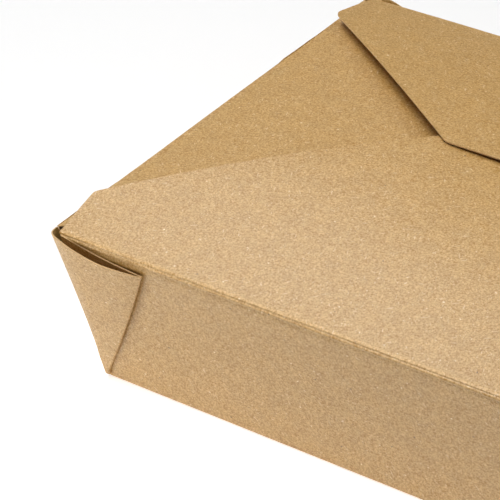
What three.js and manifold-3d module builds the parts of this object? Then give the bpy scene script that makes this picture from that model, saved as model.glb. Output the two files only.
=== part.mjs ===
// A shut takeaway box folded from one sheet of brown kraft board, in millimetres, +Z up.
// The origin is the middle of the base, X runs along the long walls and the front wall faces -Y.
// The walls flare from the base to the rim. Each corner of the sheet is a web, folded in two and laid
// against a long wall as a pointed gusset. Two end flaps lie under a front flap, and a back flap
// lies over the front one and holds it shut with a tongue pushed into a slit.
// The box can't be seen into, so it is one solid, with the flaps and gussets standing out of it.

import * as THREE from "three";
import { mergeVertices } from "three/addons/utils/BufferGeometryUtils.js";
import Module from "manifold-3d";

// Driving dimensions
const RIM_LENGTH = 216;
const RIM_WIDTH = 159;
const BASE_LENGTH = 197;
const BASE_WIDTH = 140;
const WALL_HEIGHT = 48;
const BOARD = 0.5;
const CREASE = 0.8; // the chamfer that stands for the rounded creases round the base

// The front flap: full width for a short side edge, then cut back at an angle
const FRONT_RISE = 8.8; // height of its flat middle above the rim
const FRONT_BOW = 75; // distance from the front rim over which it bows up
const FRONT_POWER = 2;
const FRONT_SIDE = 17.5;
const FRONT_DEPTH = 98; // its free edge lies hidden under the back flap
const FRONT_CUT = Math.tan(THREE.MathUtils.degToRad(46));

// The back flap, over the front one
const LIFT = 0.5; // gap between the two flaps at the free edge
const BACK_RISE = FRONT_RISE + LIFT + BOARD;
const BACK_SIDE = 21;
const BACK_DEPTH = 78.2; // from the back rim to the free edge
const BACK_CUT = Math.tan(THREE.MathUtils.degToRad(39.1));
const BACK_POWER = 1.6; // between 1, a straight slope, and 2, a bow like the front flap's

// The tongue in the middle of the back flap's free edge, and where it dips into its slit
const TONGUE_WIDTH = 38;
const TONGUE_RUN = 4;
const TONGUE_BEND = BOARD / 4; // how far it has bent down at the free edge
const TONGUE_DIP = 2 * BOARD; // its tip lies this far below the front flap's face

// The end flaps, which slope up gently under the other two
const END_SLOPE = Math.tan(THREE.MathUtils.degToRad(3.6));
const END_DEPTH = 74;
const END_SIDE = 5;
const END_CUT = Math.tan(THREE.MathUtils.degToRad(38));

// The free edges stand clear of what lies under them as far in as this
const UNDERCUT = 9;

// The gussets: widths run from the corner along the wall, offsets stand out from the wall
const GUSSET_WIDTH = 27.8;
const GUSSET_DROP = 4.8; // its folded corner lies this far below the rim
const GUSSET_TOP = 0.5; // its other end lies this far below the rim
const GUSSET_BULGE = 2.5;
const BULGE_LEAN = 0.55; // below 1, the bulge is fullest nearer the corner
const BULGE_FULLNESS = 0.6; // below 1, the bulge rises more steeply at its two ends
const FOLD_OFFSET = 1.0; // two plies at the folded edge
const POCKET_START = 0.35; // height at which the plies part, as a share of the gusset's own
const POCKET_FROM_CORNER = 1.1;
const POCKET_TO_FOLD = 2.2;
const POCKET_LEAST = 0.3 * BOARD; // the plies part by at least this much
const POCKET_OVERSHOOT = 1.1; // the pocket's cut runs on past the top edge by a tenth of its height

// What is built is sunk this far into its neighbours, so that the union is one body
const SINK = 2;
const STEPS = 16;

// Outlines that cut right through the lid reach up to here
const ABOVE = 2 * WALL_HEIGHT;

// Points closer than this are one
const WELD = 1e-4;

const KRAFT = { color: 0xc9a574, roughness: 0.85, metalness: 0 };

const wasm = await Module();
wasm.setup();

// Half sizes and the walls' slopes
const rimX = RIM_LENGTH / 2;
const rimY = RIM_WIDTH / 2;
const baseX = BASE_LENGTH / 2;
const baseY = BASE_WIDTH / 2;
const wallX = (z) => baseX + ((rimX - baseX) * z) / WALL_HEIGHT;
const wallY = (z) => baseY + ((rimY - baseY) * z) / WALL_HEIGHT;

// A closed three.js geometry as a manifold-3d solid.
function solidOf(geometry) {
  const bare = geometry.clone();
  bare.deleteAttribute("normal");
  bare.deleteAttribute("uv");
  const merged = mergeVertices(bare, WELD);
  return new wasm.Manifold(
    new wasm.Mesh({
      numProp: 3,
      vertProperties: merged.attributes.position.array,
      triVerts: new Uint32Array(merged.index.array),
    }),
  );
}

// A prism whose outline is drawn in the plane across an axis: [x, y] across Z, [y, z] across X and
// [x, z] across Y.
function prism(outline, axis, from, to) {
  const shape = new THREE.Shape(outline.map(([u, v]) => new THREE.Vector2(u, v)));
  const geometry = new THREE.ExtrudeGeometry(shape, { depth: to - from, bevelEnabled: false });
  geometry.translate(0, 0, from);
  const [x, y, z] = [
    new THREE.Vector3(1, 0, 0),
    new THREE.Vector3(0, 1, 0),
    new THREE.Vector3(0, 0, 1),
  ];
  const turn = new THREE.Matrix4();
  if (axis === "x") turn.makeBasis(y, z, x);
  if (axis === "y") turn.makeBasis(x, z, y.negate());
  return solidOf(geometry.applyMatrix4(turn));
}

// A cone from a point to a ring of points that lie in one plane, with the ring capped.
function cone(apex, ring) {
  const plan = ring.map((p) => new THREE.Vector2(p.x, p.y));
  const clockwise = THREE.ShapeUtils.isClockWise(plan);
  const points = clockwise ? [...ring].reverse() : ring;
  const flat = clockwise ? [...plan].reverse() : plan;
  const faces = THREE.ShapeUtils.triangulateShape(flat, []);
  points.forEach((_, i) => faces.push([(i + 1) % points.length, i, points.length]));
  const geometry = new THREE.BufferGeometry().setFromPoints([...points, apex]);
  geometry.setIndex(faces.flat());
  return solidOf(geometry);
}

// Values from a to b in equal steps.
const range = (a, b, steps = STEPS) =>
  Array.from({ length: steps + 1 }, (_, i) => a + ((b - a) * i) / steps);

// Height of a bowed flap above the rim at a distance from its fold.
const bow = (distance, reach, rise, power) =>
  rise * (1 - Math.pow(1 - Math.min(distance / reach, 1), power));

// A flap's outline over the lid: full width beside the fold, then cut back to the free edge.
// Distances run from the fold, and half is half of the fold's length.
function flapOutline(half, side, depth, cut, inset = 0) {
  const narrow = (depth - side) / cut;
  const cornerBack = inset / Math.sin(Math.atan(cut));
  return [
    [-half, -SINK],
    [half, -SINK],
    [half - cornerBack, side],
    [half - narrow - cornerBack, depth],
    [-half + narrow + cornerBack, depth],
    [-half + cornerBack, side],
  ];
}

// The walls and base: two tapered prisms that cross.
function tub() {
  const profile = (base, rim) => [
    [-base + CREASE, 0],
    [base - CREASE, 0],
    [base, CREASE],
    [rim, WALL_HEIGHT],
    [-rim, WALL_HEIGHT],
    [-base, CREASE],
  ];
  const across = prism(profile(baseX, rimX), "y", -rimY, rimY);
  return across.intersect(prism(profile(baseY, rimY), "x", -rimX, rimX));
}

// One of the two end flaps, a wedge under its sloping face.
function endFlap(side) {
  const lid = WALL_HEIGHT;
  const rise = END_DEPTH * END_SLOPE;
  const profile = [
    [-side * rimX, lid],
    [-side * rimX, lid - SINK],
    [-side * (rimX - END_DEPTH), lid - SINK],
    [-side * (rimX - END_DEPTH), lid + rise],
  ];
  const outline = flapOutline(rimY, END_SIDE, END_DEPTH, 1 / END_CUT).map(([along, inward]) => [
    -side * (rimX - inward),
    along,
  ]);
  return prism(profile, "y", -rimY, rimY).intersect(prism(outline, "z", 0, ABOVE));
}

// A long flap: its plate, and the fill under it that stops short of its side edges and, by undercut, of
// its free edge. toward is 1 for the flap that folds in from the front rim, -1 for the one from the back.
function longFlap(toward, heightAt, { side, depth, cut, undercut }) {
  const place = ([distance, height]) => [toward * (distance - rimY), WALL_HEIGHT + height];
  const upper = range(0, depth).map((d) => [d, heightAt(d)]);
  const lower = upper.map(([d, h]) => [d, h - BOARD]).reverse();
  const onPlan = ([along, distance]) => [along, toward * (distance - rimY)];
  const outline = flapOutline(rimX, side, depth, cut).map(onPlan);
  const core = flapOutline(rimX, side, depth - undercut, cut, UNDERCUT).map(onPlan);
  const bottom = [
    [depth, -SINK],
    [0, -SINK],
  ];
  const plate = prism([...upper, ...lower].map(place), "x", -rimX, rimX);
  const fill = prism([...upper, ...bottom].map(place), "x", -rimX, rimX);
  return plate
    .intersect(prism(outline, "z", 0, ABOVE))
    .add(fill.intersect(prism(core, "z", 0, ABOVE)));
}

// The tongue that runs down from the back flap's free edge into the front flap.
function tongue() {
  const freeEdge = rimY - BACK_DEPTH;
  const level = WALL_HEIGHT + BACK_RISE;
  const dip = WALL_HEIGHT + FRONT_RISE - TONGUE_DIP;
  const profile = [
    [freeEdge + TONGUE_RUN, level],
    [freeEdge, level - TONGUE_BEND],
    [freeEdge - TONGUE_RUN, dip],
    [freeEdge, dip],
    [freeEdge + TONGUE_RUN, level - BOARD],
  ];
  return prism(profile, "x", -TONGUE_WIDTH / 2, TONGUE_WIDTH / 2);
}

// How far a gusset's outer ply stands out from the wall along its top edge: round the corner, out in a
// bow, and back to the two plies of the folded edge.
function plyOffset(along) {
  const share = along / GUSSET_WIDTH;
  const swell = Math.pow(Math.sin(Math.PI * Math.pow(share, BULGE_LEAN)), BULGE_FULLNESS);
  return FOLD_OFFSET * share + (GUSSET_BULGE - FOLD_OFFSET * share) * swell;
}

// A gusset, a pointed wedge from the base corner to its top edge, with the pocket between its plies.
// end is -1 at the left and 1 at the right, and face is -1 on the front wall and 1 on the back one.
function gusset(end, face) {
  const topAt = (along) =>
    WALL_HEIGHT - GUSSET_TOP - ((GUSSET_DROP - GUSSET_TOP) * along) / GUSSET_WIDTH;
  const point = (along, offset) => {
    const z = topAt(along);
    return new THREE.Vector3(end * (wallX(z) - along), face * (wallY(z) + offset), z);
  };
  const apex = new THREE.Vector3(end * baseX, face * baseY, 0);
  const stations = range(0, GUSSET_WIDTH);
  const outer = stations.map((s) => point(s, plyOffset(s)));
  const wedge = cone(apex, [...outer, point(GUSSET_WIDTH, -SINK), point(0, -SINK)]);

  const start = apex.clone().lerp(point(GUSSET_WIDTH / 2, FOLD_OFFSET), POCKET_START);
  const open = range(POCKET_FROM_CORNER, GUSSET_WIDTH - POCKET_TO_FOLD);
  const insideOuter = (s) => plyOffset(s) - BOARD;
  const outsideInner = (s) => Math.min(FOLD_OFFSET, insideOuter(s) - POCKET_LEAST);
  const ring = [
    ...open.map((s) => point(s, insideOuter(s))),
    ...open.map((s) => point(s, outsideInner(s))).reverse(),
  ];
  const beyond = ring.map((p) => start.clone().lerp(p, POCKET_OVERSHOOT));
  return wedge.subtract(cone(start, beyond));
}

// The whole box as one solid.
function carton() {
  const front = (d) => bow(d, FRONT_BOW, FRONT_RISE, FRONT_POWER);
  const back = (d) => bow(d, BACK_DEPTH, BACK_RISE, BACK_POWER);
  const pieces = [
    endFlap(1),
    endFlap(-1),
    longFlap(1, front, { side: FRONT_SIDE, depth: FRONT_DEPTH, cut: FRONT_CUT, undercut: 0 }),
    longFlap(-1, back, { side: BACK_SIDE, depth: BACK_DEPTH, cut: BACK_CUT, undercut: UNDERCUT }),
    tongue(),
  ];
  for (const end of [-1, 1]) {
    for (const face of [-1, 1]) pieces.push(gusset(end, face));
  }
  return pieces.reduce((whole, piece) => whole.add(piece), tub());
}

// A manifold-3d solid as a three.js mesh.
function meshOf(name, solid, finish) {
  const { vertProperties, triVerts } = solid.getMesh();
  const geometry = new THREE.BufferGeometry();
  geometry.setAttribute("position", new THREE.BufferAttribute(vertProperties, 3));
  geometry.setIndex(new THREE.BufferAttribute(triVerts, 1));
  geometry.computeVertexNormals();
  const mesh = new THREE.Mesh(geometry, new THREE.MeshStandardMaterial(finish));
  mesh.name = name;
  return mesh;
}

const box = new THREE.Group();
box.add(meshOf("carton", carton(), KRAFT));

export default box;
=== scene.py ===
"""Dresses a shut takeaway box as what it is: one sheet of brown kraft board, creased, folded and tucked.

The sheet is drawn out in strips that share their edges: a long strip from the front flap round the base to
the back flap, two end strips, and four corner webs that fold in two against the long walls. The strips are
sewn into one piece, given the board's thickness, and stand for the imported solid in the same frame, in metres.
The sizes of the box and its board are in millimetres, those of the studio in metres.
"""

import logging
import math
from dataclasses import dataclass
from enum import Enum
from typing import Callable, Iterable, Sequence

import bmesh
import bpy
from mathutils import Euler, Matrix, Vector

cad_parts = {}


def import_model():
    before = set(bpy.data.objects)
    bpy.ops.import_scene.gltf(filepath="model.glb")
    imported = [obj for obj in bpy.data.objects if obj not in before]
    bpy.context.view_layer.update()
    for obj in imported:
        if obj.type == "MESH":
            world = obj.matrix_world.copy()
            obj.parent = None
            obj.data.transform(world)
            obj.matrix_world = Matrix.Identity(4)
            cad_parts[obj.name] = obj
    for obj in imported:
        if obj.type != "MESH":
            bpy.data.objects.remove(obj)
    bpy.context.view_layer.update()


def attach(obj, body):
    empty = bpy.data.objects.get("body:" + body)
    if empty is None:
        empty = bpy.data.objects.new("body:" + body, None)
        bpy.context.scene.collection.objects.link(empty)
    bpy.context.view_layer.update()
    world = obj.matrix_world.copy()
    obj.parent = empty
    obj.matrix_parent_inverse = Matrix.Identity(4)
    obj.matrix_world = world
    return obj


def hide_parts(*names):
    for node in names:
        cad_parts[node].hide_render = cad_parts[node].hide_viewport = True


MM = 0.001
LOG = logging.getLogger("takeaway_box")
# How near two places are, in millimetres, when they count as the same one.
TOUCH = 0.01
# The mesh attribute that marks the creased folds, which the board's material paints paler: roughed-up fibre and
# a painted highlight.
RUBBED_AND_HIGHLIT = "rubbed_and_highlit"
# A Mix node's colour sockets, by number, because its sockets for plain numbers have the same names.
MIX_FIRST = 6
MIX_SECOND = 7
MIX_RESULT = 2

Pair = tuple[float, float]
Triple = tuple[float, float, float]
# A row across a strip: its distance from the middle of the box, its height and half its width.
Row = tuple[float, float, float]
# A point of a folded web: its distance along the wall, its distance out and its share of the lip's height.
WebPoint = tuple[float, float, float]


def linear(hex_colour: str) -> tuple[float, float, float, float]:
    """Turns an sRGB hex colour into linear light.

    Args:
        hex_colour: Six hex digits, with or without a leading #.

    Returns:
        Red, green, blue and an alpha of 1.
    """
    digits = hex_colour.lstrip("#")
    channels = [int(digits[i : i + 2], 16) / 255 for i in (0, 2, 4)]
    # The sRGB standard's own curve: a straight line for the darkest tones, and a power above them.
    red, green, blue = (c / 12.92 if c <= 0.04045 else ((c + 0.055) / 1.055) ** 2.4 for c in channels)
    return red, green, blue, 1.0


def add_node(
    tree: bpy.types.NodeTree, kind: str, settings: dict | None = None, inputs: dict | None = None
) -> bpy.types.Node:
    """Adds a shader node, sets its properties and fills or links its inputs.

    Args:
        tree: The node tree that gets the node.
        kind: The node's Blender type.
        settings: Property names and their values.
        inputs: Input names or numbers, each with a plain value or the output socket to link from.

    Returns:
        The new node.
    """
    node = tree.nodes.new(kind)
    for name, value in (settings or {}).items():
        setattr(node, name, value)
    for name, value in (inputs or {}).items():
        if isinstance(value, bpy.types.NodeSocket):
            tree.links.new(value, node.inputs[name])
        else:
            node.inputs[name].default_value = value
    return node


def bare_material(name: str) -> bpy.types.Material:
    """Makes a material whose node tree is empty.

    Args:
        name: The material's name.

    Returns:
        The new material.
    """
    material = bpy.data.materials.new(name)
    material.use_nodes = True
    material.node_tree.nodes.clear()
    return material


def smooth_min(a: float, b: float, width: float) -> float:
    """Gives the smaller of two values, rounded off where they come within a width of each other."""
    near = max(width - abs(a - b), 0.0) / width
    return min(a, b) - near * near * width / 4


def smooth_step(low: float, high: float, value: float) -> float:
    """Rises smoothly from 0 at low to 1 at high, whichever of the two is greater."""
    share = min(max((value - low) / (high - low), 0.0), 1.0)
    return share * share * (3 - 2 * share)


def mirrored(rows: Sequence[Row]) -> list[Row]:
    """Gives the same rows on the other side of the box, in the opposite order."""
    return [(-across, height, half) for across, height, half in reversed(rows)]


def facing(place: Triple, target: Triple) -> Euler:
    """Gives the turn that points a lamp or a camera from its place to a target."""
    return (Vector(target) - Vector(place)).to_track_quat("-Z", "Y").to_euler()


def deselect() -> None:
    """Leaves edit mode and deselects every object."""
    if bpy.context.object and bpy.context.object.mode != "OBJECT":
        bpy.ops.object.mode_set(mode="OBJECT")
    bpy.ops.object.select_all(action="DESELECT")


def displace(
    piece: bpy.types.Object,
    name: str,
    strength: float,
    weights: Iterable[float],
    settings: dict | None = None,
) -> None:
    """Moves the points of a mesh, each by its own weight, with a Displace modifier that is then applied.

    Args:
        piece: The active object.
        name: What to call the modifier and its vertex group.
        strength: How far a point of weight 1 moves, in millimetres.
        weights: The points' weights, from the first point on. Points beyond the last weight stay.
        settings: The modifier's other properties and their values.
    """
    group = piece.vertex_groups.new(name=name)
    for index, weight in enumerate(weights):
        group.add([index], weight, "REPLACE")
    push = piece.modifiers.new(name, "DISPLACE")
    push.strength = strength * MM
    push.mid_level = 0.0
    push.vertex_group = group.name
    for key, value in (settings or {}).items():
        setattr(push, key, value)
    bpy.ops.object.modifier_apply(modifier=push.name)


class End(Enum):
    """The two ends of the box, by the side of the middle that they lie on."""

    LEFT = -1
    RIGHT = 1


class Element(Enum):
    """What an edit selects in a mesh."""

    FACE = "FACE"
    EDGE = "EDGE"


class Corner(Enum):
    """The four corners of the box: which end, and which long wall carries the folded web."""

    FRONT_LEFT = (-1, -1)
    FRONT_RIGHT = (1, -1)
    BACK_LEFT = (-1, 1)
    BACK_RIGHT = (1, 1)


@dataclass(frozen=True)
class Strewn:
    """Bits of one kind that lie in the board's face.

    Crowding is how thickly they lie. Strength is how far the plainest bit covers the board, and each bit is
    fainter than that by chance. Turns are the directions that they lie in, about X, Y and Z. A bit fades out
    between two distances from its middle, given as shares of its half width.
    """

    tint: str
    length_mm: float
    width_mm: float
    crowding: float
    strength: float
    turns: tuple[Triple, ...] = ((0.0, 0.0, 0.0),)
    fade: Pair = (1.15, 0.6)


@dataclass(frozen=True)
class KraftBoard:
    """Unbleached kraft board, calendered and uncoated.

    Clouding is how much the clouds lighten and darken the board, and tooth how strongly its pulp stands out.
    Stir is how far the fibres are shifted into curls, swirl how big the curls are, and rub how much paler a
    creased fold is painted, as fibres roughed up by creasing and as a painted highlight.
    """

    name: str = "kraft_board_calendered"
    tan: str = "#d4af74"
    shade: str = "#a1700f"
    roughness: float = 0.42
    ior: float = 1.72
    cloud_mm: float = 5.0
    cloud_range: Pair = (0.3, 0.7)
    clouding: float = 0.05
    # Single grains of pulp are finer than this. They are drawn as coarse as they run together to the eye.
    pulp_mm: float = 0.55
    pulp_range: Pair = (0.34, 0.66)
    tooth: float = 0.2
    tooth_mm: float = 0.08
    stir_mm: float = 0.7
    swirl_mm: float = 2.8
    rub_and_highlight: float = 0.16
    # Real fibres are about 0.03 mm wide. They are drawn eight times as wide, so that they show.
    pale_fibres: Strewn = Strewn(
        tint="#efd9b4",
        length_mm=2.4,
        width_mm=0.24,
        crowding=0.14,
        strength=0.7,
        turns=((0, 0, 0.5), (0, 0, -1.1), (0, 0.9, 0.2), (0, -0.6, 1.5), (0, 0.3, 2.4)),
    )
    dark_fibres: Strewn = Strewn(
        tint="#8d6840",
        length_mm=1.7,
        width_mm=0.22,
        crowding=0.1,
        strength=0.55,
        turns=((0, 0.2, -0.4), (0.3, -0.9, 0.9)),
    )
    flecks: Strewn = Strewn(tint="#f6e4bd", length_mm=0.6, width_mm=0.45, crowding=0.085, strength=1.0)
    bark: Strewn = Strewn(tint="#3d2817", length_mm=0.55, width_mm=0.42, crowding=0.048, strength=1.0)

    def make(self) -> bpy.types.Material:
        """Makes the material.

        Returns:
            The board's face material.
        """
        # Wood fibre, pressed between rolls and left brown: a matt tan, cloudy and finely mottled by the pulp,
        # with short curled fibres in it, lighter and darker, a few pale flecks and bits of bark, and a faint
        # sheen. Its folds are painted paler, partly for fibres roughed up by creasing, partly as a painted
        # highlight.
        material = bare_material(self.name)
        tree = material.node_tree
        place = add_node(tree, "ShaderNodeTexCoord").outputs["Object"]
        pulp = add_node(
            tree,
            "ShaderNodeTexNoise",
            inputs={
                "Vector": place,
                "Scale": 1 / (self.pulp_mm * MM),
                "Detail": 3.0,
                "Roughness": 0.65,
                "Distortion": 0.5,
            },
        ).outputs["Fac"]
        colour = self._rub_and_highlight(tree, self._mottle(tree, place, pulp))
        stirred = self._stir(tree, place)
        for strewn in (self.pale_fibres, self.dark_fibres, self.flecks, self.bark):
            for turn in strewn.turns:
                colour = self._strew(tree, stirred, colour, strewn, turn)
        relief = add_node(
            tree,
            "ShaderNodeBump",
            inputs={"Strength": self.tooth, "Distance": self.tooth_mm * MM, "Height": pulp},
        )
        shader = add_node(
            tree,
            "ShaderNodeBsdfPrincipled",
            inputs={
                "Base Color": colour,
                "Roughness": self.roughness,
                "IOR": self.ior,
                "Normal": relief.outputs["Normal"],
            },
        )
        add_node(tree, "ShaderNodeOutputMaterial", inputs={"Surface": shader.outputs["BSDF"]})
        return material

    def _mottle(
        self, tree: bpy.types.NodeTree, place: bpy.types.NodeSocket, pulp: bpy.types.NodeSocket
    ) -> bpy.types.NodeSocket:
        """Colours the board by its pulp, and clouds it where the pulp lies thicker or thinner.

        Args:
            tree: The material's node tree.
            place: Object coordinates.
            pulp: The pulp's pattern.

        Returns:
            The board's colour.
        """
        cloud = add_node(
            tree,
            "ShaderNodeTexNoise",
            inputs={"Vector": place, "Scale": 1 / (self.cloud_mm * MM), "Detail": 2.0, "Roughness": 0.55},
        )
        grain = add_node(
            tree,
            "ShaderNodeMapRange",
            inputs={"Value": pulp, "From Min": self.pulp_range[0], "From Max": self.pulp_range[1]},
        )
        mixed = add_node(
            tree,
            "ShaderNodeMix",
            {"data_type": "RGBA"},
            {"Factor": grain.outputs["Result"], MIX_FIRST: linear(self.shade), MIX_SECOND: linear(self.tan)},
        )
        clouded = add_node(
            tree,
            "ShaderNodeMapRange",
            inputs={
                "Value": cloud.outputs["Fac"],
                "From Min": self.cloud_range[0],
                "From Max": self.cloud_range[1],
                "To Min": 1 - self.clouding,
                "To Max": 1 + self.clouding,
            },
        )
        colour = add_node(
            tree,
            "ShaderNodeVectorMath",
            {"operation": "SCALE"},
            {0: mixed.outputs[MIX_RESULT], "Scale": clouded.outputs["Result"]},
        )
        return colour.outputs["Vector"]

    def _rub_and_highlight(self, tree: bpy.types.NodeTree, colour: bpy.types.NodeSocket) -> bpy.types.NodeSocket:
        """Lightens the board where the mesh marks a fold: paler fibre roughed up by creasing, and a painted
        highlight.

        Args:
            tree: The material's node tree.
            colour: The board's colour so far.

        Returns:
            The lightened colour.
        """
        # Painted highlight: the marked folds are lightened, partly for roughed-up fibre and partly to stand in
        # for light.
        rubbed_and_highlit = add_node(tree, "ShaderNodeAttribute", {"attribute_name": RUBBED_AND_HIGHLIT})
        paler = add_node(
            tree,
            "ShaderNodeMath",
            {"operation": "MULTIPLY_ADD"},
            {0: rubbed_and_highlit.outputs["Fac"], 1: self.rub_and_highlight, 2: 1.0},
        )
        lightened = add_node(
            tree,
            "ShaderNodeVectorMath",
            {"operation": "SCALE"},
            {0: colour, "Scale": paler.outputs["Value"]},
        )
        return lightened.outputs["Vector"]

    def _stir(self, tree: bpy.types.NodeTree, place: bpy.types.NodeSocket) -> bpy.types.NodeSocket:
        """Shifts places about, so that straight fibres curl.

        Args:
            tree: The material's node tree.
            place: Object coordinates.

        Returns:
            The shifted coordinates.
        """
        middle_grey = (0.5, 0.5, 0.5)
        swirl = add_node(
            tree,
            "ShaderNodeTexNoise",
            inputs={"Vector": place, "Scale": 1 / (self.swirl_mm * MM), "Detail": 1.0},
        )
        centred = add_node(
            tree,
            "ShaderNodeVectorMath",
            {"operation": "SUBTRACT"},
            {0: swirl.outputs["Color"], 1: middle_grey},
        )
        shift = add_node(
            tree,
            "ShaderNodeVectorMath",
            {"operation": "SCALE"},
            {0: centred.outputs["Vector"], "Scale": 2 * self.stir_mm * MM},
        )
        moved = add_node(
            tree,
            "ShaderNodeVectorMath",
            {"operation": "ADD"},
            {0: place, 1: shift.outputs["Vector"]},
        )
        return moved.outputs["Vector"]

    @staticmethod
    def _strew(
        tree: bpy.types.NodeTree,
        place: bpy.types.NodeSocket,
        colour: bpy.types.NodeSocket,
        strewn: Strewn,
        turn: Triple,
    ) -> bpy.types.NodeSocket:
        """Strews bits of another colour over the board, all in one direction.

        Args:
            tree: The material's node tree.
            place: Where on the board a point lies.
            colour: The board's colour so far.
            strewn: The bits.
            turn: The bits' direction, as turns about X, Y and Z.

        Returns:
            The colour with the bits in it.
        """
        # Each cell of the pattern holds one bit, and is as much bigger than it as the crowding asks.
        along, across = (size * MM / (2 * strewn.crowding) for size in (strewn.length_mm, strewn.width_mm))
        laid = add_node(
            tree,
            "ShaderNodeMapping",
            {"vector_type": "TEXTURE"},
            {"Vector": place, "Rotation": turn, "Scale": (along, across, across)},
        )
        cells = add_node(
            tree,
            "ShaderNodeTexVoronoi",
            inputs={"Vector": laid.outputs["Vector"], "Scale": 1.0},
        )
        bit = add_node(
            tree,
            "ShaderNodeMapRange",
            inputs={
                "Value": cells.outputs["Distance"],
                "From Min": strewn.crowding * strewn.fade[0],
                "From Max": strewn.crowding * strewn.fade[1],
                "To Max": strewn.strength,
            },
        )
        chance = add_node(tree, "ShaderNodeSeparateColor", inputs={"Color": cells.outputs["Color"]})
        cover = add_node(
            tree,
            "ShaderNodeMath",
            {"operation": "MULTIPLY"},
            {0: bit.outputs["Result"], 1: chance.outputs["Red"]},
        )
        mix = add_node(
            tree,
            "ShaderNodeMix",
            {"data_type": "RGBA"},
            {"Factor": cover.outputs["Value"], MIX_FIRST: colour, MIX_SECOND: linear(strewn.tint)},
        )
        return mix.outputs[MIX_RESULT]


@dataclass(frozen=True)
class CutBoard:
    """The die-cut edge of the board."""

    name: str = "kraft_board_die_cut_edge"
    core: str = "#dcbc8c"
    shade: str = "#c09a66"
    grain_mm: float = 0.5
    roughness: float = 0.9
    ior: float = 1.45

    def make(self) -> bpy.types.Material:
        """Makes the material.

        Returns:
            The cut edge's material.
        """
        # Sheared wood fibre, never pressed: paler than the face, grainy, and dull with no sheen.
        material = bare_material(self.name)
        tree = material.node_tree
        place = add_node(tree, "ShaderNodeTexCoord").outputs["Object"]
        grain = add_node(
            tree,
            "ShaderNodeTexNoise",
            inputs={"Vector": place, "Scale": 1 / (self.grain_mm * MM), "Detail": 3.0},
        )
        mixed = add_node(
            tree,
            "ShaderNodeMix",
            {"data_type": "RGBA"},
            {"Factor": grain.outputs["Fac"], MIX_FIRST: linear(self.shade), MIX_SECOND: linear(self.core)},
        )
        shader = add_node(
            tree,
            "ShaderNodeBsdfPrincipled",
            inputs={
                "Base Color": mixed.outputs[MIX_RESULT],
                "Roughness": self.roughness,
                "IOR": self.ior,
            },
        )
        add_node(tree, "ShaderNodeOutputMaterial", inputs={"Surface": shader.outputs["BSDF"]})
        return material


@dataclass(frozen=True)
class Box:
    """Sizes of the folded box in millimetres: half lengths and widths, heights and the board.

    A turn says how far from the corner a wall bends into its web: at the base, and how much more at the rim.
    """

    rim_x: float = 108.0
    rim_y: float = 79.5
    base_x: float = 98.5
    base_y: float = 70.0
    height: float = 48.0
    board: float = 0.38
    wall_top: float = 46.0
    base_bend: float = 0.9
    long_turn: Pair = (1.0, 2.3)
    short_turn: Pair = (0.8, 1.7)
    # Where a flap's own rows begin, just past its creased fold.
    flap_start: float = 2.6
    # Shares of the wall's height at which its rows lie, from the base up.
    rows: tuple[float, ...] = (
        0.03, 0.06, 0.10, 0.15, 0.21, 0.28, 0.35, 0.43, 0.51, 0.59, 0.67, 0.75, 0.82, 0.88, 0.93, 0.97, 1.0,
    )

    def wall_x(self, z: float) -> float:
        """Half the box's length at a height."""
        return self.base_x + (self.rim_x - self.base_x) * z / self.height

    def wall_y(self, z: float) -> float:
        """Half the box's width at a height."""
        return self.base_y + (self.rim_y - self.base_y) * z / self.height

    def long_end(self, share: float) -> float:
        """How far from the corner a long wall turns into its web, at a share of its height."""
        return self.long_turn[0] + self.long_turn[1] * share

    def short_end(self, share: float) -> float:
        """How far from the corner an end wall turns into the web, at a share of its height."""
        return self.short_turn[0] + self.short_turn[1] * share

    def rim_crease(self, slope: float, size: float) -> list[Pair]:
        """The creased fold of the rim, from the lid over to the wall: a step, a bead and a groove.

        Args:
            slope: How steeply the flap rises from the fold.
            size: How big the crease is, as a share of the long walls'.

        Returns:
            Distances inwards and heights from the rim's theoretical edge.
        """
        pressed = ((2.0, 0.0), (1.5, 0.0), (1.05, 0.01), (0.78, 0.03), (0.6, 0.06), (0.5, 0.11))
        lid = [(inwards, slope * inwards - sink) for inwards, sink in pressed]
        step = [(0.46, -0.16), (0.45, -0.3)]
        bead = [(0.38, -0.38), (0.22, -0.42), (0.08, -0.49), (0.01, -0.64), (0.0, -0.86), (0.03, -1.06)]
        groove = [(0.11, -1.24), (0.28, -1.39), (0.4, -1.51), (0.44, -1.64)]
        return [(size * inwards, size * height) for inwards, height in lid + step + bead + groove]

    def base_crease(self) -> list[Pair]:
        """The bend from a wall to the base.

        Returns:
            Distances outwards from the base's theoretical edge, and heights.
        """
        bend = [(0.17, 0.85), (0.10, 0.52), (-0.04, 0.25), (-0.27, 0.08), (-0.56, 0.015)]
        return bend + [(-self.base_bend, 0.0)]


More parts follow.
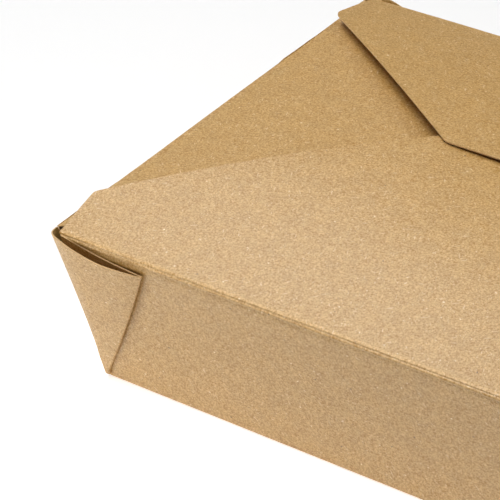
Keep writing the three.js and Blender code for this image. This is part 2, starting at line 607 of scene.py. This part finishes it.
@dataclass(frozen=True)
class Flap:
    """A flap's cut: its side edge, the angled cut and the free edge, with rounded corners, in millimetres.

    The side edge goes from start_inset to side_inset over the distance side, and corner is how far it is
    rounded into the angled cut. The cut goes on to the free edge at depth, and tip is the radius there.
    """

    half: float
    start_inset: float
    side_inset: float
    side: float
    depth: float
    cut_deg: float
    corner: float
    tip: float = 0.0
    # How near an even row may come to a corner's own rows, as a share of the even rows' spacing.
    row_room: float = 0.35

    def half_at(self, distance: float) -> float:
        """Half the flap's width at a distance from its fold.

        Args:
            distance: The distance.

        Returns:
            Half the width.
        """
        flank = self.half - self.start_inset + (self.start_inset - self.side_inset) * distance / self.side
        turn = math.radians(self.cut_deg)
        angled = self.half - self.side_inset - (distance - self.side) / math.tan(turn)
        left = self.depth - distance
        if left < self.tip * (1 - math.cos(turn)):
            edge = self.half - self.side_inset - (self.depth - self.side) / math.tan(turn)
            angled = edge + self.tip * (math.sin(math.acos(1 - left / self.tip)) - math.tan(turn / 2))
        return smooth_min(flank, angled, self.corner)

    def stations(self, first: float, coarse: float) -> list[float]:
        """Distances from the fold at which the flap's rows lie: close together at its corners.

        Args:
            first: The first row's distance.
            coarse: How far apart the other rows are, at least.

        Returns:
            Distances from first to the free edge.
        """
        near_corner = [self.side + d for d in (-1.6, -1.0, -0.5, 0.0, 0.5, 1.0, 1.8)]
        near_edge = [self.depth - d for d in (2.4, 1.8, 1.2, 0.7, 0.35, 0.12, 0.0)]
        close = near_corner + near_edge
        steps = int((self.depth - first) / coarse)
        even = [first + (self.depth - first) * i / steps for i in range(steps)]
        return sorted([d for d in even if all(abs(d - c) > self.row_room * coarse for c in close)] + close)


class Strip:
    """A strip of board, drawn out of a straight edge in edit mode, one row after another."""

    def __init__(
        self, name: str, columns: int, along: Vector, first: Row, place: Callable[[Row], Vector]
    ) -> None:
        """Adds a plane, merges it to a point, draws that out to an edge and divides the edge.

        Args:
            name: The piece's name.
            columns: Faces across the strip.
            along: The edge's direction.
            first: The first row: distance across, height, half width.
            place: Turns a row into the middle of its edge, in millimetres.
        """
        self.along = along
        self.place = place
        self.last = first
        half = first[2]
        deselect()
        bpy.ops.mesh.primitive_plane_add(size=MM)
        self.piece = bpy.context.object
        self.piece.name = name
        bpy.ops.object.mode_set(mode="EDIT")
        bpy.ops.mesh.select_mode(type="VERT")
        bpy.ops.mesh.merge(type="CENTER")
        bpy.ops.transform.translate(value=(place(first) - along * half) * MM)
        bpy.ops.mesh.extrude_region_move(TRANSFORM_OT_translate={"value": along * (2 * half * MM)})
        bpy.ops.mesh.select_all(action="SELECT")
        bpy.ops.mesh.subdivide(number_cuts=columns - 1)

    def draw(self, rows: Iterable[Row]) -> None:
        """Extrudes the last edge to each row in turn and sets its width.

        Args:
            rows: The rows, in order.
        """
        for row in rows:
            middle = self.place(row)
            step = middle - self.place(self.last)
            ratio = row[2] / self.last[2]
            bpy.ops.mesh.extrude_region_move(TRANSFORM_OT_translate={"value": step * MM})
            scale = [1 + (ratio - 1) * abs(part) for part in self.along]
            bpy.ops.transform.resize(value=scale, center_override=middle * MM)
            self.last = row

    def select(self, wanted: Callable[[Vector], bool], element: Element) -> None:
        """Selects the faces or edges whose every corner is wanted.

        Args:
            wanted: Says whether a corner counts, by its place in millimetres.
            element: Whether to select faces or edges.
        """
        bpy.ops.mesh.select_mode(type=element.value)
        bpy.ops.mesh.select_all(action="DESELECT")
        shape = bmesh.from_edit_mesh(self.piece.data)
        parts = shape.faces if element is Element.FACE else shape.edges
        for part in parts:
            if all(wanted(corner.co / MM) for corner in part.verts):
                part.select_set(True)
        shape.select_flush_mode()
        bmesh.update_edit_mesh(self.piece.data)


@dataclass
class LongStrip:
    """The front flap, front wall, base, back wall and back flap, with the tongue and its slit."""

    box: Box
    front: Flap = Flap(
        half=108.0, start_inset=2.4, side_inset=1.4, side=17.2, depth=100.0, cut_deg=46.0, corner=0.9
    )
    back: Flap = Flap(
        half=108.0, start_inset=2.1, side_inset=1.2, side=21.0, depth=77.3, cut_deg=39.1, corner=3.0, tip=4.5
    )
    columns: int = 72
    base_rows: int = 24
    row_step: float = 3.0
    front_rise: float = 8.8
    front_bow: float = 75.0
    front_sag: float = 2.4
    sag_reach: float = 22.0
    back_rise: float = 9.7
    back_power: float = 1.6
    # A flap's slope at its fold is taken over this distance.
    slope_reach: float = 0.5
    # Over these shares of the rim's crease, the strip narrows from the flap's width to the wall's.
    narrowing: Pair = (0.3, 0.8)
    dip: float = 0.6
    dip_reach: float = 50.0
    dip_fullness: int = 4
    tongue_half: float = 19.0
    # The tongue's way through the slit: how far ahead of the free edge, how far below it, and share of width.
    tongue_path: tuple[Triple, ...] = (
        (1.0, 0.15, 1.0), (2.0, 0.55, 0.995), (2.9, 1.05, 0.99), (3.8, 1.62, 0.99),
        (5.3, 2.4, 0.985), (9.0, 2.85, 0.95), (14.0, 2.95, 0.85), (18.0, 2.95, 0.6),
    )
    slit: Pair = (77.8, 78.6)
    slit_room: float = 1.0
    slit_press: float = 0.55

    def front_height(self, distance: float) -> float:
        """Height of the front flap above the rim: it bows up, and sags where the back flap covers it."""
        bowed = self.front_rise * (1 - max(1 - distance / self.front_bow, 0.0) ** 2)
        return bowed - self.front_sag * (max(distance - self.slit[1], 0.0) / self.sag_reach) ** 2

    def back_height(self, distance: float) -> float:
        """Height of the back flap above the rim."""
        return self.back_rise * (1 - max(1 - distance / self.back.depth, 0.0) ** self.back_power)

    def build(self) -> bpy.types.Object:
        """Draws out the strip.

        Returns:
            The strip's mesh, a sheet with no thickness yet.
        """
        box = self.box
        front_slope = self.front_height(self.slope_reach) / self.slope_reach
        back_slope = self.back_height(self.slope_reach) / self.slope_reach
        front = [
            (d - box.rim_y, box.height + self.front_height(d), self.front.half_at(d))
            for d in self._front_stations()
        ]
        over = self._rim(front_slope, self.front)
        down = self._wall()
        up = mirrored(down)
        back_over = mirrored(self._rim(back_slope, self.back))
        back = [
            (box.rim_y - d, box.height + self.back_height(d), self.back.half_at(d))
            for d in self.back.stations(box.flap_start, self.row_step)
        ]
        strip = Strip(
            "long_strip",
            self.columns,
            Vector((1, 0, 0)),
            front[0],
            lambda row: Vector((0, row[0], row[1])),
        )
        strip.draw(front[1:])
        flap_count = len(bmesh.from_edit_mesh(strip.piece.data).verts)
        strip.draw(over + down + self._floor() + up + back_over + back)
        self._tongue(strip)
        self._slit(strip)
        bpy.ops.object.mode_set(mode="OBJECT")
        self._dent(strip.piece, flap_count)
        return strip.piece

    def _front_stations(self) -> list[float]:
        """Places the front flap's rows, with the slit's two edges among them.

        Returns:
            Distances from the fold, from the hidden free edge on.
        """
        low, high = self.slit
        flap_rows = self.front.stations(self.box.flap_start, self.row_step)
        plain = [d for d in flap_rows if not low - self.slit_room < d < high + self.slit_room]
        return sorted(plain + [low, high], reverse=True)

    def _rim(self, slope: float, flap: Flap) -> list[Row]:
        """Takes the strip over the front rim's crease, from the flap down to the wall.

        Args:
            slope: How steeply the flap rises from the fold.
            flap: The flap.

        Returns:
            The crease's rows.
        """
        box = self.box
        crease = box.rim_crease(slope, 1.0)
        wall_half = box.wall_x(box.wall_top) - box.long_end(1.0)
        lid_half = flap.half_at(crease[0][0])
        rows = []
        for i, (inwards, height) in enumerate(crease):
            share = smooth_step(*self.narrowing, i / (len(crease) - 1))
            half = lid_half + (wall_half - lid_half) * share
            rows.append((inwards - box.rim_y, box.height + height, half))
        return rows

    def _wall(self) -> list[Row]:
        """Takes the strip down the front wall.

        Returns:
            Rows from the wall's top to the base's bend.
        """
        box = self.box
        rows = []
        for share in reversed(box.rows):
            z = box.wall_top * share
            rows.append((-box.wall_y(z), z, box.wall_x(z) - box.long_end(share)))
        return rows

    def _floor(self) -> list[Row]:
        """Takes the strip along the base.

        Returns:
            Rows from the front bend to the back one.
        """
        box = self.box
        half = box.base_x - box.base_bend
        bend = [(-box.base_y - out, z, half) for out, z in box.base_crease()]
        flat = box.base_y - box.base_bend
        middle = [(flat * (2 * j / self.base_rows - 1), 0.0, half) for j in range(1, self.base_rows)]
        return bend + middle + mirrored(bend)

    def _tongue(self, strip: Strip) -> None:
        """Draws the tongue out of the middle of the back flap's free edge, down through the slit.

        Args:
            strip: The strip, in edit mode.
        """
        box = self.box
        edge_y = box.rim_y - self.back.depth
        level = box.height + self.back_rise

        def on_edge(p: Vector) -> bool:
            """Says whether a corner lies on the middle of the free edge."""
            return abs(p.y - edge_y) < TOUCH and p.z > box.height and abs(p.x) < self.tongue_half

        strip.select(on_edge, Element.EDGE)
        last_ahead, last_below, last_width = 0.0, 0.0, 1.0
        for ahead, below, width in self.tongue_path:
            step = Vector((0, last_ahead - ahead, last_below - below)) * MM
            bpy.ops.mesh.extrude_region_move(TRANSFORM_OT_translate={"value": step})
            middle = Vector((0, edge_y - ahead, level - below)) * MM
            bpy.ops.transform.resize(value=(width / last_width, 1, 1), center_override=middle)
            last_ahead, last_below, last_width = ahead, below, width

    def _slit(self, strip: Strip) -> None:
        """Opens the slit in the front flap and presses the board down behind it.

        Args:
            strip: The strip, in edit mode.
        """
        box = self.box
        low, high = (d - box.rim_y for d in self.slit)
        reach = self.tongue_half + self.slit_room
        half_way_up = box.height + self.front_rise / 2

        def in_slit(p: Vector) -> bool:
            """Says whether a corner bounds the slit."""
            on_flap = abs(p.z - box.height - self.front_height(p.y + box.rim_y)) < 2 * TOUCH
            return on_flap and p.z > half_way_up and low - TOUCH < p.y < high + TOUCH and abs(p.x) < reach

        strip.select(in_slit, Element.FACE)
        bpy.ops.mesh.delete(type="ONLY_FACE")
        strip.select(lambda p: in_slit(p) and p.y > high - TOUCH, Element.EDGE)
        bpy.ops.transform.translate(value=(0, 0, -self.slit_press * MM))

    def _dent(self, piece: bpy.types.Object, count: int) -> None:
        """Presses the front flap down under the back flap's free edge, where the tongue pulls it in.

        Args:
            piece: The strip.
            count: How many of its points, from the first, are the front flap's.
        """
        edge = self.box.rim_y - self.back.depth
        reach = self.back.half_at(self.back.depth)
        weights = []
        for vertex in piece.data.vertices[:count]:
            x, y, _ = vertex.co / MM
            across = 1 - min(abs(x) / reach, 1.0) ** self.dip_fullness
            weights.append(across * smooth_step(edge - self.dip_reach, edge, y))
        displace(piece, "pressed", -self.dip, weights, {"direction": "Z"})


@dataclass
class EndStrip:
    """One end of the box: the end flap, the end wall and its bend into the base."""

    box: Box
    end: End
    flap: Flap = Flap(
        half=79.5, start_inset=4.2, side_inset=4.2, side=6.0, depth=74.0, cut_deg=52.0, corner=4.0
    )
    columns: int = 24
    row_step: float = 4.0
    slope: float = 0.063
    bow: float = 0.12
    # The end's crease is fainter than the long walls': this share of their size.
    fold: float = 0.25

    def height_at(self, distance: float) -> float:
        """Height of the end flap above the rim, in a slight bow."""
        return self.slope * distance * (1 + self.bow - self.bow * distance / self.flap.depth)

    def build(self) -> bpy.types.Object:
        """Draws out the strip.

        Returns:
            The strip's mesh, a sheet with no thickness yet.
        """
        box = self.box
        stations = sorted(self.flap.stations(box.flap_start, self.row_step), reverse=True)
        lid = [(box.rim_x - d, box.height + self.height_at(d), self.flap.half_at(d)) for d in stations]
        wall_half = box.wall_y(box.wall_top) - box.short_end(1.0)
        over = [
            (box.rim_x - inwards, box.height + height, wall_half)
            for inwards, height in box.rim_crease(self.slope * (1 + self.bow), self.fold)
        ]
        wall = []
        for share in reversed(box.rows):
            z = box.wall_top * share
            wall.append((box.wall_x(z), z, box.wall_y(z) - box.short_end(share)))
        half = box.base_y - box.base_bend
        bend = [(box.base_x + out, z, half) for out, z in box.base_crease()]
        strip = Strip(
            "end_strip",
            self.columns,
            Vector((0, 1, 0)),
            lid[0],
            lambda row: Vector((self.end.value * row[0], 0, row[1])),
        )
        strip.draw(lid[1:] + over + wall + bend)
        bpy.ops.object.mode_set(mode="OBJECT")
        return strip.piece


@dataclass
class Web:
    """A corner web of the board, folded in two and laid against a long wall as a pointed gusset.

    From the long wall it turns back on itself, runs along the wall as the inner ply, turns at the folded
    edge, comes back as the outer ply, and bends round the corner into the end wall. Its top edge stands up
    past the wall's last row as a lip. The sizes are those at the top of the wall.
    """

    box: Box
    corner: Corner
    # The folded edge: how far it lies past the wall's turn, at least, how far along the wall, and its drop
    # below the corner, which sets in over a first share of the height and goes on a little past the fold.
    fold_least: float = 0.4
    width: float = 27.6
    drop: float = 3.55
    drop_start: float = 0.2
    drop_most: float = 1.03
    # The plies: how far out the outer one lies, and how the fold and both plies stand off the wall.
    stack: float = 1.02
    gap: float = 0.08
    spring: float = 0.38
    nest: float = 0.05
    bulge: float = 2.1
    bulge_lean: float = 0.65
    bulge_fullness: float = 0.6
    bulge_growth: float = 2.5
    # At the corner the outer ply lies out by this share of the stack only, up to a share of the way along.
    pinch: float = 0.35
    pinch_reach: float = 0.3
    # The lip's height, how fast it grows up the wall, and the shares of it that the plies' top edges lose.
    lip: float = 1.95
    lip_growth: int = 4
    sink: float = 0.45
    droop: float = 0.2
    droop_hold: int = 3
    sag: float = 0.58
    # The bends: steps along and out where the web leaves the wall, the hairpin, and the corner.
    first_turn: tuple[Pair, ...] = ((0.0, 0.0), (-0.1, 0.02), (-0.1, 0.05))
    hairpin_trim: float = 0.04
    hairpin_rows: int = 8
    corner_turn: Pair = (0.8, 2.6)
    corner_reach: float = 0.75
    corner_rows: int = 8
    corner_end: float = 0.12
    rows_along: int = 26

    def build(self) -> bpy.types.Object:
        """Adds a grid for the flat web and folds it.

        Returns:
            The web's mesh, a sheet with no thickness yet.
        """
        shares = self.box.rows
        stations = len(self.section(1.0))
        deselect()
        bpy.ops.mesh.primitive_grid_add(x_subdivisions=stations - 1, y_subdivisions=len(shares) - 1, size=MM)
        piece = bpy.context.object
        piece.name = "corner_web"
        places = []
        for share in shares:
            outline = self.section(share)
            for i, (along, out, rise) in enumerate(outline):
                sewn = i in (0, len(outline) - 1)
                places += self._place(share, along, out, 0.0 if sewn else self.lip * rise)
        piece.data.vertices.foreach_set("co", places)
        piece.data.update()
        return piece

    def fold_at(self, share: float) -> float:
        """How far along the wall the folded edge lies, at a share of the height."""
        return max(self.width * share, self.box.long_end(share) + self.fold_least)

    def section(self, share: float) -> list[WebPoint]:
        """The web's plan at a share of its height.

        Args:
            share: Height as a share of the wall's.

        Returns:
            The web's points, from the long wall to the end wall.
        """
        outer = self._outer_ply(share)
        bend = self._bend(outer[-1], outer[-2], -self.box.short_end(share))
        return self._inner_ply(share) + self._hairpin(share) + outer + bend

    def _inner_ply(self, share: float) -> list[WebPoint]:
        """Turns the web back on itself and runs it along the wall.

        Args:
            share: Height as a share of the wall's.

        Returns:
            Points from the long wall to the fold.
        """
        turn = self.box.long_end(share)
        fold = self.fold_at(share)
        points = [(turn + along, out, 1.0) for along, out in self.first_turn]
        for i in range(self.rows_along + 1):
            s = i / self.rows_along
            bow = math.sin(math.pi * s)
            away = self.gap + self.spring * share * s * s + self.nest * share * bow**2
            points.append((turn + (fold - turn) * s, away, 1 - self.droop * s - self.sink * bow))
        return points

    def _hairpin(self, share: float) -> list[WebPoint]:
        """Turns the web round its folded edge.

        Args:
            share: Height as a share of the wall's.

        Returns:
            Points between the inner ply and the outer one.
        """
        fold = self.fold_at(share)
        radius = self.stack / 2 - self.hairpin_trim
        points = []
        for i in range(1, self.hairpin_rows):
            angle = math.pi * i / self.hairpin_rows
            away = self.gap + self.spring * share + radius * (1 - math.cos(angle))
            points.append((fold + radius * math.sin(angle), away, 1 - self.droop))
        return points

    def _outer_ply(self, share: float) -> list[WebPoint]:
        """Brings the web back along the wall, outside the inner ply.

        Args:
            share: Height as a share of the wall's.

        Returns:
            Points from the fold to the corner's bend.
        """
        fold = self.fold_at(share)
        start = self.corner_turn[0] + self.corner_turn[1] * share
        points = []
        for i in range(self.rows_along + 1):
            s = i / self.rows_along
            along = fold + (start - fold) * s
            drooped = self.droop * (1 - s**self.droop_hold)
            rise = 1 - drooped - self.sag * math.sin(math.pi * s) ** 2
            points.append((along, self._outer_offset(along / fold, share), rise))
        return points

    def _outer_offset(self, along: float, share: float) -> float:
        """How far the outer ply stands out from the wall.

        Args:
            along: The share of the way from the corner to the fold.
            share: Height as a share of the wall's.

        Returns:
            The distance.
        """
        swell = math.sin(math.pi * min(along, 1.0) ** self.bulge_lean) ** self.bulge_fullness
        flat = self.stack * (self.pinch + (1 - self.pinch) * smooth_step(0.0, self.pinch_reach, along))
        return flat + self.spring * share * along * along + self.bulge * share**self.bulge_growth * swell

    def _bend(self, start: WebPoint, before: WebPoint, end: float) -> list[WebPoint]:
        """Rounds the corner from the outer ply into the end wall.

        Args:
            start: The outer ply's last point.
            before: The point before that, which gives the ply's direction.
            end: The distance out at which the end wall takes over.

        Returns:
            Points from just after start to the end wall.
        """
        slope = (start[1] - before[1]) / (start[0] - before[0])
        meet = start[1] - slope * start[0]
        tip = meet + (end - meet) * self.corner_reach
        points = []
        for i in range(1, self.corner_rows + 1):
            t = i / self.corner_rows
            along = (1 - t) ** 2 * start[0]
            out = (1 - t) ** 2 * start[1] + 2 * t * (1 - t) * meet + t * t * tip
            points.append((along, out, 1.0))
        return points + [(0.0, end + self.corner_end, 1.0), (0.0, end, 1.0)]

    def _place(self, share: float, along: float, out: float, lip: float) -> Triple:
        """Says where a point of the folded web lies.

        Args:
            share: Height as a share of the wall's.
            along: The distance along the wall from the corner.
            out: The distance out from the wall.
            lip: How far the web's top edge is raised there.

        Returns:
            The place, in metres.
        """
        end, face = self.corner.value
        box = self.box
        turn = box.long_end(share)
        to_fold = (along - turn) / (self.fold_at(share) - turn)
        fall = self.drop * min(max(to_fold, 0.0), self.drop_most)
        raised = box.wall_top * share + lip * share**self.lip_growth
        z = raised - fall * share * min(share / self.drop_start, 1.0)
        x = end * (box.wall_x(z) - along)
        y = face * (box.wall_y(z) + out)
        return x * MM, y * MM, z * MM


@dataclass
class Carton:
    """The whole folded sheet: its strips and webs, sewn together and given the board's thickness."""

    box: Box
    seam: float = 0.02
    hollow: float = 0.8
    # The walls are drawn in evenly up to this share of the way from the middle to the corners.
    hollow_reach: float = 0.75
    # How far off a long wall's plane a point may lie and still belong to the wall.
    wall_touch: float = 0.04
    wave: float = 0.35
    wave_mm: float = 45.0
    # Heights between which the waves set in, so that the base stays flat.
    wave_rise: Pair = (2.0, 20.0)
    # Where the long folds are painted paler, as roughed-up fibre and a painted highlight: distances in from the
    # rim and heights above it, each from none to full.
    rub_and_highlight_depth: float = 2.0
    lid_reach: Pair = (1.7, 0.8)
    lid_height: Pair = (-0.25, -0.02)
    bead_reach: Pair = (0.45, 0.25)
    bead_foot: Pair = (-0.9, -0.6)
    bead_top: Pair = (0.0, -0.3)
    # The bead gets the paler fibre and the painted highlight only clear of the gussets, by the distance from
    # the middle of the box.
    bead_length: Pair = (90.0, 75.0)
    smooth_deg: float = 38.0

    def build(self) -> bpy.types.Object:
        """Builds the piece.

        Returns:
            The finished board.
        """
        parts = [LongStrip(self.box).build()]
        parts += [EndStrip(self.box, end).build() for end in End]
        parts += [Web(self.box, corner).build() for corner in Corner]
        for part in parts:
            LOG.info("%s: %d faces", part.name, len(part.data.polygons))
        board = self._sew(parts)
        self._rub_and_highlight(board)
        self._hollow(board)
        self._ripple(board)
        self._thicken(board)
        return board

    def _sew(self, parts: Sequence[bpy.types.Object]) -> bpy.types.Object:
        """Joins the strips and webs along their shared edges, outer faces out.

        Args:
            parts: The strips and webs.

        Returns:
            The whole sheet.
        """
        deselect()
        for part in parts:
            part.select_set(True)
        bpy.context.view_layer.objects.active = parts[0]
        bpy.ops.object.join()
        board = bpy.context.object
        board.name = board.data.name = "folded_kraft_board"
        bpy.ops.object.mode_set(mode="EDIT")
        bpy.ops.mesh.select_all(action="SELECT")
        bpy.ops.mesh.remove_doubles(threshold=self.seam * MM)
        bpy.ops.mesh.normals_make_consistent(inside=False)
        bpy.ops.object.mode_set(mode="OBJECT")
        # An open sheet's faces may all come out inwards. The middle of the base tells: it should face down.
        middle = min(board.data.polygons, key=lambda face: face.center.z + face.center.xy.length)
        if middle.normal.z > 0:
            bpy.ops.object.mode_set(mode="EDIT")
            bpy.ops.mesh.flip_normals()
            bpy.ops.object.mode_set(mode="OBJECT")
        return board

    def _rub_and_highlight(self, board: bpy.types.Object) -> None:
        """Marks the lid's edge and the bead of the long folds, where creasing has roughed up the fibres and
        where the material paints a highlight.

        Args:
            board: The sheet.
        """
        box = self.box
        marks = board.data.attributes.new(RUBBED_AND_HIGHLIT, "FLOAT", "POINT").data
        for vertex in board.data.vertices:
            x, y, z = vertex.co / MM
            inwards = box.rim_y - abs(y)
            height = z - box.height
            # These marks carry a painted highlight along the lid's edge and the bead, as well as the paler
            # creased fibre.
            lid = smooth_step(*self.lid_reach, inwards) * smooth_step(*self.lid_height, height)
            bead = smooth_step(*self.bead_reach, inwards) * smooth_step(*self.bead_length, abs(x))
            bead *= smooth_step(*self.bead_foot, height) * smooth_step(*self.bead_top, height)
            marks[vertex.index].value = max(lid, bead) if abs(inwards) < self.rub_and_highlight_depth else 0.0

    def _hollow(self, board: bpy.types.Object) -> None:
        """Draws the middle of the long walls in a little, as the tucked lid pulls their folds together.

        Args:
            board: The sheet.
        """
        box = self.box
        weights = []
        for vertex in board.data.vertices:
            x, y, z = vertex.co / MM
            weight = 0.0
            if abs(abs(y) - box.wall_y(z)) < self.wall_touch and z < box.wall_top:
                share = z / box.wall_top
                to_corner = abs(x) / (box.wall_x(z) - box.long_end(share))
                across = 1 - smooth_step(self.hollow_reach, 1.0, to_corner)
                # Full at half the wall's height, and none at its top and foot.
                upwards = 4 * share * (1 - share)
                weight = across * upwards
            weights.append(weight)
        displace(board, "hollow", -self.hollow, weights)

    def _ripple(self, board: bpy.types.Object) -> None:
        """Gives the panels the faint waviness of folded board, and leaves the base flat.

        Args:
            board: The sheet.
        """
        clouds = bpy.data.textures.new("board_waves", "CLOUDS")
        clouds.noise_scale = self.wave_mm * MM
        clouds.noise_depth = 1
        weights = [smooth_step(*self.wave_rise, vertex.co.z / MM) for vertex in board.data.vertices]
        settings = {"texture": clouds, "texture_coords": "LOCAL", "mid_level": 0.5}
        displace(board, "waves", self.wave, weights, settings)

    def _thicken(self, board: bpy.types.Object) -> None:
        """Gives the sheet the board's thickness, inwards, with cut edges, and smooths its bends.

        Args:
            board: The sheet.
        """
        solid = board.modifiers.new("board", "SOLIDIFY")
        solid.thickness = self.box.board * MM
        solid.offset = -1.0
        solid.use_quality_normals = True
        solid.thickness_clamp = 0.0
        solid.material_offset_rim = 1
        board.data.materials.append(KraftBoard().make())
        board.data.materials.append(CutBoard().make())
        bpy.ops.object.modifier_apply(modifier=solid.name)
        bpy.ops.object.shade_smooth_by_angle(angle=math.radians(self.smooth_deg))


@dataclass(frozen=True)
class Lamp:
    """A square soft light: where it stands and how wide it is, in metres, and its power in watts."""

    name: str
    place: Triple
    size: float
    power: float


@dataclass
class Studio:
    """The white lit table, the soft lights and the camera that stands where the photograph was taken.

    Places are in metres. The table glows most under the box and fades over a distance from its base.
    """

    box: Box
    white: str = "#ffffff"
    floor_half: float = 6.0
    floor_below: float = 0.0002
    floor_tone: str = "#f4f4f4"
    floor_roughness: float = 0.9
    floor_glow: float = 0.1
    near_glow: float = 0.49
    near_reach: float = 0.05
    room_glow: float = 0.187
    lamps: tuple[Lamp, ...] = (
        Lamp("overhead", (-0.14, -0.22, 0.72), 0.36, 3.4),
        Lamp("low_left", (-0.22, -0.20, 0.03), 0.05, 0.095),
        Lamp("left_back", (-0.46, 0.35, 0.82), 0.4, 2.12),
        Lamp("right_back", (0.40, 0.42, 0.86), 0.4, 1.65),
    )
    lamp_aim: Triple = (-0.05, -0.03, 0.04)
    camera_place: Triple = (0.2351, -0.5043, 0.3948)
    camera_aim: Triple = (-0.0751, -0.0356, 0.030)
    # The lens and the width of the film behind it, in millimetres.
    lens: float = 178.85
    film: float = 36.0

    def build(self) -> None:
        """Sets the floor, the lights and the camera."""
        bpy.context.scene.view_settings.view_transform = "Standard"
        self._floor()
        self._room()
        for lamp in self.lamps:
            self._light(lamp)
        self._camera()

    def _floor(self) -> None:
        """Lays the table."""
        deselect()
        bpy.ops.mesh.primitive_plane_add(size=2 * self.floor_half, location=(0, 0, -self.floor_below))
        floor = bpy.context.object
        floor.name = "floor"
        # Opal glass, ground matt: an even white, lit from below so that no hard shadow falls.
        opal = bpy.data.materials.new("opal_white_table")
        opal.use_nodes = True
        tree = opal.node_tree
        shader = tree.nodes["Principled BSDF"]
        shader.inputs["Base Color"].default_value = linear(self.floor_tone)
        shader.inputs["Roughness"].default_value = self.floor_roughness
        shader.inputs["Emission Color"].default_value = linear(self.white)
        tree.links.new(self._glow(tree), shader.inputs["Emission Strength"])
        floor.data.materials.append(opal)

    def _glow(self, tree: bpy.types.NodeTree) -> bpy.types.NodeSocket:
        """Works out how brightly the table glows, by the distance from the box's base.

        Args:
            tree: The table's node tree.

        Returns:
            The glow's strength.
        """
        place = add_node(tree, "ShaderNodeTexCoord").outputs["Object"]
        axes = add_node(tree, "ShaderNodeSeparateXYZ", inputs={"Vector": place}).outputs
        beside = []
        for axis, half in (("X", self.box.base_x), ("Y", self.box.base_y)):
            reach = add_node(tree, "ShaderNodeMath", {"operation": "ABSOLUTE"}, {0: axes[axis]})
            past = add_node(
                tree,
                "ShaderNodeMath",
                {"operation": "SUBTRACT"},
                {0: reach.outputs["Value"], 1: half * MM},
            )
            beside.append(past.outputs["Value"])
        away = add_node(tree, "ShaderNodeMath", {"operation": "MAXIMUM"}, {0: beside[0], 1: beside[1]})
        glow = add_node(
            tree,
            "ShaderNodeMapRange",
            {"interpolation_type": "SMOOTHSTEP"},
            {
                "Value": away.outputs["Value"],
                "From Min": 0.0,
                "From Max": self.near_reach,
                "To Min": self.floor_glow + self.near_glow,
                "To Max": self.floor_glow,
            },
        )
        return glow.outputs["Result"]

    def _room(self) -> None:
        """Surrounds the table with a dim white room."""
        world = bpy.data.worlds.new("studio_room")
        bpy.context.scene.world = world
        world.use_nodes = True
        room = world.node_tree.nodes["Background"]
        room.inputs["Color"].default_value = linear(self.white)
        room.inputs["Strength"].default_value = self.room_glow

    def _light(self, lamp: Lamp) -> None:
        """Hangs a lamp and aims it at the box.

        Args:
            lamp: The lamp.
        """
        data = bpy.data.lights.new(lamp.name, "AREA")
        data.size = lamp.size
        data.energy = lamp.power
        light = bpy.data.objects.new(lamp.name, data)
        bpy.context.collection.objects.link(light)
        light.location = lamp.place
        light.rotation_euler = facing(lamp.place, self.lamp_aim)
        light.visible_camera = False

    def _camera(self) -> None:
        """Stands the camera where the photograph's proportions put it."""
        data = bpy.data.cameras.new("camera")
        data.lens = self.lens
        data.sensor_width = self.film
        camera = bpy.data.objects.new("camera", data)
        bpy.context.collection.objects.link(camera)
        camera.location = self.camera_place
        camera.rotation_euler = facing(self.camera_place, self.camera_aim)
        bpy.context.scene.camera = camera


def main() -> None:
    """Builds the board, the studio and the record of sizes."""
    logging.basicConfig(level=logging.INFO, format="%(name)s: %(message)s")
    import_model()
    box = Box()
    board = Carton(box).build()
    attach(board, "root")
    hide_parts("carton")
    LOG.info("%s: %d faces", board.name, len(board.data.polygons))
    Studio(box).build()


if __name__ == "__main__":
    main()
